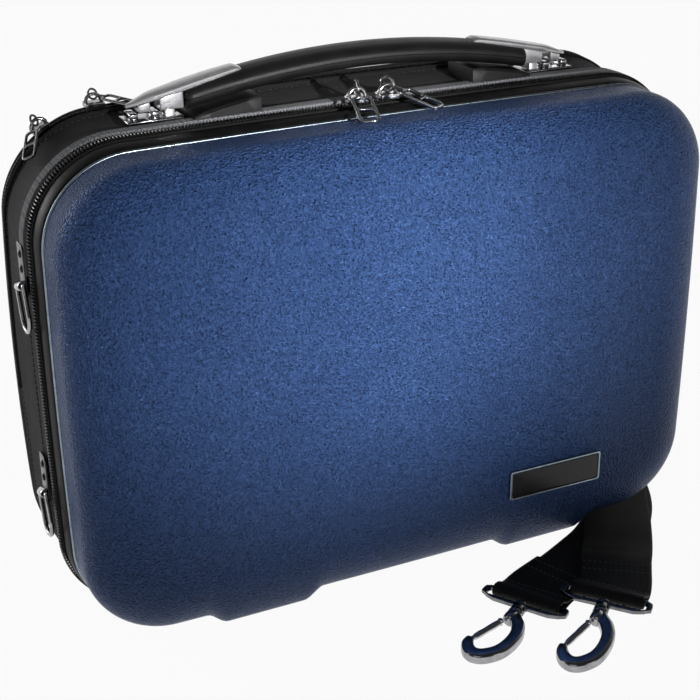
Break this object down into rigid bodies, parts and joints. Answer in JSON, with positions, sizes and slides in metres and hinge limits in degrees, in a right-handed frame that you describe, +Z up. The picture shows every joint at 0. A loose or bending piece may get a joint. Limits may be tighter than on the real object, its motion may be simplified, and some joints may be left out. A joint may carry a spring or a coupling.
{
  "type": "clarinet case",
  "caption": "Zip-closed clarinet case with a moulded front half, a soft back half with a rear pocket, a lift-up handle, side rings and a loose shoulder strap with swivel hooks.",
  "frame": {"origin": "middle of the back half's flat underside, on the surface that the case stands on", "axes": "+X to the right seen from the front, along the case's length; +Y towards the back; +Z up"},
  "size_m": [0.3685, 0.2499, 0.2779],
  "materials": {
    "navy_abs": "pebbled, satin",
    "black_nylon": "matte woven",
    "strap_nylon": "ribbed webbing",
    "black_rubber": "satin",
    "grey_webbing": "matte woven",
    "chrome": "polished",
    "dark_chrome": "polished, dark",
    "silver_trim": "satin",
    "plush": "plush",
    "zip_black": "matte",
    "badge_dark": "gloss"
  },
  "bodies": {
    "lid": {"lid_shell": "navy_abs", "lid_piping": "silver_trim", "lid_band": "black_rubber", "lid_zip": "zip_black", "lid_hinge_tape": "black_nylon", "lid_lining": "plush", "badge_frame": "silver_trim", "badge_plate": "badge_dark"},
    "base": {"base_shell": "black_nylon", "foam_tray": "plush", "base_zip": "zip_black", "base_hinge_tape": "black_nylon", "top_webbing": "grey_webbing", "pocket_lower_panel": "black_nylon", "pocket_zip_base": "zip_black", "handle_foot_left": "black_rubber", "handle_foot_right": "black_rubber", "handle_bracket_left": "dark_chrome", "handle_bracket_right": "dark_chrome", "handle_backing_plate_left": "dark_chrome", "handle_backing_plate_right": "dark_chrome", "ring_plate_left_upper": "dark_chrome", "ring_plate_left_lower": "dark_chrome", "ring_plate_right_upper": "dark_chrome", "ring_plate_right_lower": "dark_chrome"},
    "accessory_lid": {"accessory_lid": "plush"},
    "handle": {"handle_grip_top": "black_rubber", "handle_grip_bottom": "black_rubber", "handle_steel_strap": "dark_chrome", "handle_cap_left": "chrome", "handle_cap_right": "chrome"},
    "main_left_slider": {"main_left_slider": "chrome"},
    "main_left_pull": {"main_left_pull": "chrome"},
    "main_right_slider": {"main_right_slider": "chrome"},
    "main_right_pull": {"main_right_pull": "chrome"},
    "pocket_flap": {"pocket_flap": "black_nylon", "pocket_zip_flap": "zip_black"},
    "pocket_low_slider": {"pocket_low_slider": "chrome"},
    "pocket_low_pull": {"pocket_low_pull": "chrome"},
    "pocket_high_slider": {"pocket_high_slider": "chrome"},
    "pocket_high_pull": {"pocket_high_pull": "chrome"},
    "ring_left_upper": {"side_ring_left_upper": "chrome"},
    "ring_left_lower": {"side_ring_left_lower": "chrome"},
    "ring_right_upper": {"side_ring_right_upper": "chrome"},
    "ring_right_lower": {"side_ring_right_lower": "chrome"},
    "strap": {"strap_arm_left": "strap_nylon", "strap_arm_right": "strap_nylon", "strap_folds": "strap_nylon", "hook_frame_left": "dark_chrome", "hook_frame_right": "dark_chrome"},
    "hook_left": {"hook_left": "dark_chrome"},
    "hook_right": {"hook_right": "dark_chrome"},
    "gate_left": {"hook_gate_left": "chrome"},
    "gate_right": {"hook_gate_right": "chrome"}
  },
  "joints": [
    {"name": "base_hinge", "type": "hinge", "parent": "lid", "child": "base", "pos_m": [0, -0.025, 0.0035], "axis": [-1, 0, 0], "range_deg": [0, 100], "deforming": ["strap_arm_left", "strap_arm_right", "strap_folds"]},
    {"name": "accessory_hinge", "type": "hinge", "parent": "base", "child": "accessory_lid", "pos_m": [-0.11775, -0.0188, 0.1078], "axis": [1, 0, 0], "range_deg": [0, 17]},
    {"name": "handle_lift", "type": "slide", "parent": "base", "child": "handle", "axis": [0, 0, 1], "range_m": [0, 0.012]},
    {"name": "main_left_slide", "type": "slide", "parent": "lid", "child": "main_left_slider", "axis": [-1, 0, 0], "range_m": [0, 0.11]},
    {"name": "main_left_pull_hinge", "type": "hinge", "parent": "main_left_slider", "child": "main_left_pull", "pos_m": [-0.0105, -0.025, 0.26045], "axis": [-1, 0, 0], "range_deg": [0, 110]},
    {"name": "main_right_slide", "type": "slide", "parent": "lid", "child": "main_right_slider", "axis": [1, 0, 0], "range_m": [0, 0.11]},
    {"name": "main_right_pull_hinge", "type": "hinge", "parent": "main_right_slider", "child": "main_right_pull", "pos_m": [0.0062, -0.025, 0.26045], "axis": [-1, 0, 0], "range_deg": [0, 110]},
    {"name": "pocket_hinge", "type": "hinge", "parent": "base", "child": "pocket_flap", "pos_m": [0, 0.029, 0.121], "axis": [-1, 0, 0], "range_deg": [0, 120]},
    {"name": "pocket_low_travel", "type": "hinge", "parent": "base", "child": "pocket_low_slider", "pos_m": [-0.12808, 0.0195, 0.2043], "axis": [0, -1, 0], "range_deg": [0, 50]},
    {"name": "pocket_low_pull_hinge", "type": "hinge", "parent": "pocket_low_slider", "child": "pocket_low_pull", "pos_m": [-0.15892, 0.0195, 0.25262], "axis": [-0.84, 0, -0.5426], "range_deg": [0, 110]},
    {"name": "pocket_high_slide", "type": "slide", "parent": "base", "child": "pocket_high_slider", "axis": [0.9994, 0, 0.0335], "range_m": [0, 0.02]},
    {"name": "pocket_high_pull_hinge", "type": "hinge", "parent": "pocket_high_slider", "child": "pocket_high_pull", "pos_m": [-0.12963, 0.0195, 0.26189], "axis": [-0.9994, 0, -0.0335], "range_deg": [0, 110]},
    {"name": "ring_left_upper_hinge", "type": "hinge", "parent": "base", "child": "ring_left_upper", "pos_m": [-0.18098, -0.0145, 0.184], "axis": [0, 0.9511, -0.309], "range_deg": [0, 150]},
    {"name": "ring_left_lower_hinge", "type": "hinge", "parent": "base", "child": "ring_left_lower", "pos_m": [-0.18133, -0.0145, 0.0735], "axis": [0, 0.9511, -0.309], "range_deg": [0, 150]},
    {"name": "ring_right_upper_hinge", "type": "hinge", "parent": "base", "child": "ring_right_upper", "pos_m": [0.18098, -0.0145, 0.184], "axis": [0, -0.9511, 0.309], "range_deg": [0, 150]},
    {"name": "ring_right_lower_hinge", "type": "hinge", "parent": "base", "child": "ring_right_lower", "pos_m": [0.18133, -0.0145, 0.0735], "axis": [0, -0.9511, 0.309], "range_deg": [0, 150]},
    {"name": "strap_slide", "type": "slide", "parent": "lid", "child": "strap", "axis": [1, 0, 0], "range_m": [0, 0.25]},
    {"name": "hook_left_swivel", "type": "hinge", "parent": "strap", "child": "hook_left", "pos_m": [0.042, -0.115, 0.0042], "axis": [-0.8386, -0.5446, -0.0147], "continuous": true},
    {"name": "hook_right_swivel", "type": "hinge", "parent": "strap", "child": "hook_right", "pos_m": [0.077, -0.1365, 0.009], "axis": [-0.762, -0.6394, -0.1028], "continuous": true},
    {"name": "gate_left_hinge", "type": "hinge", "parent": "hook_left", "child": "gate_left", "pos_m": [0.02035, -0.12572, 0.00385], "axis": [-0.0123, -0.008, 0.9999], "range_deg": [0, 25], "stiffness_Nm_per_rad": 0.01, "springref_deg": -11.46},
    {"name": "gate_right_hinge", "type": "hinge", "parent": "hook_right", "child": "gate_right", "pos_m": [0.05691, -0.1497, 0.00653], "axis": [-0.0787, -0.066, 0.9947], "range_deg": [0, 25], "stiffness_Nm_per_rad": 0.01, "springref_deg": -11.46}
  ]
}
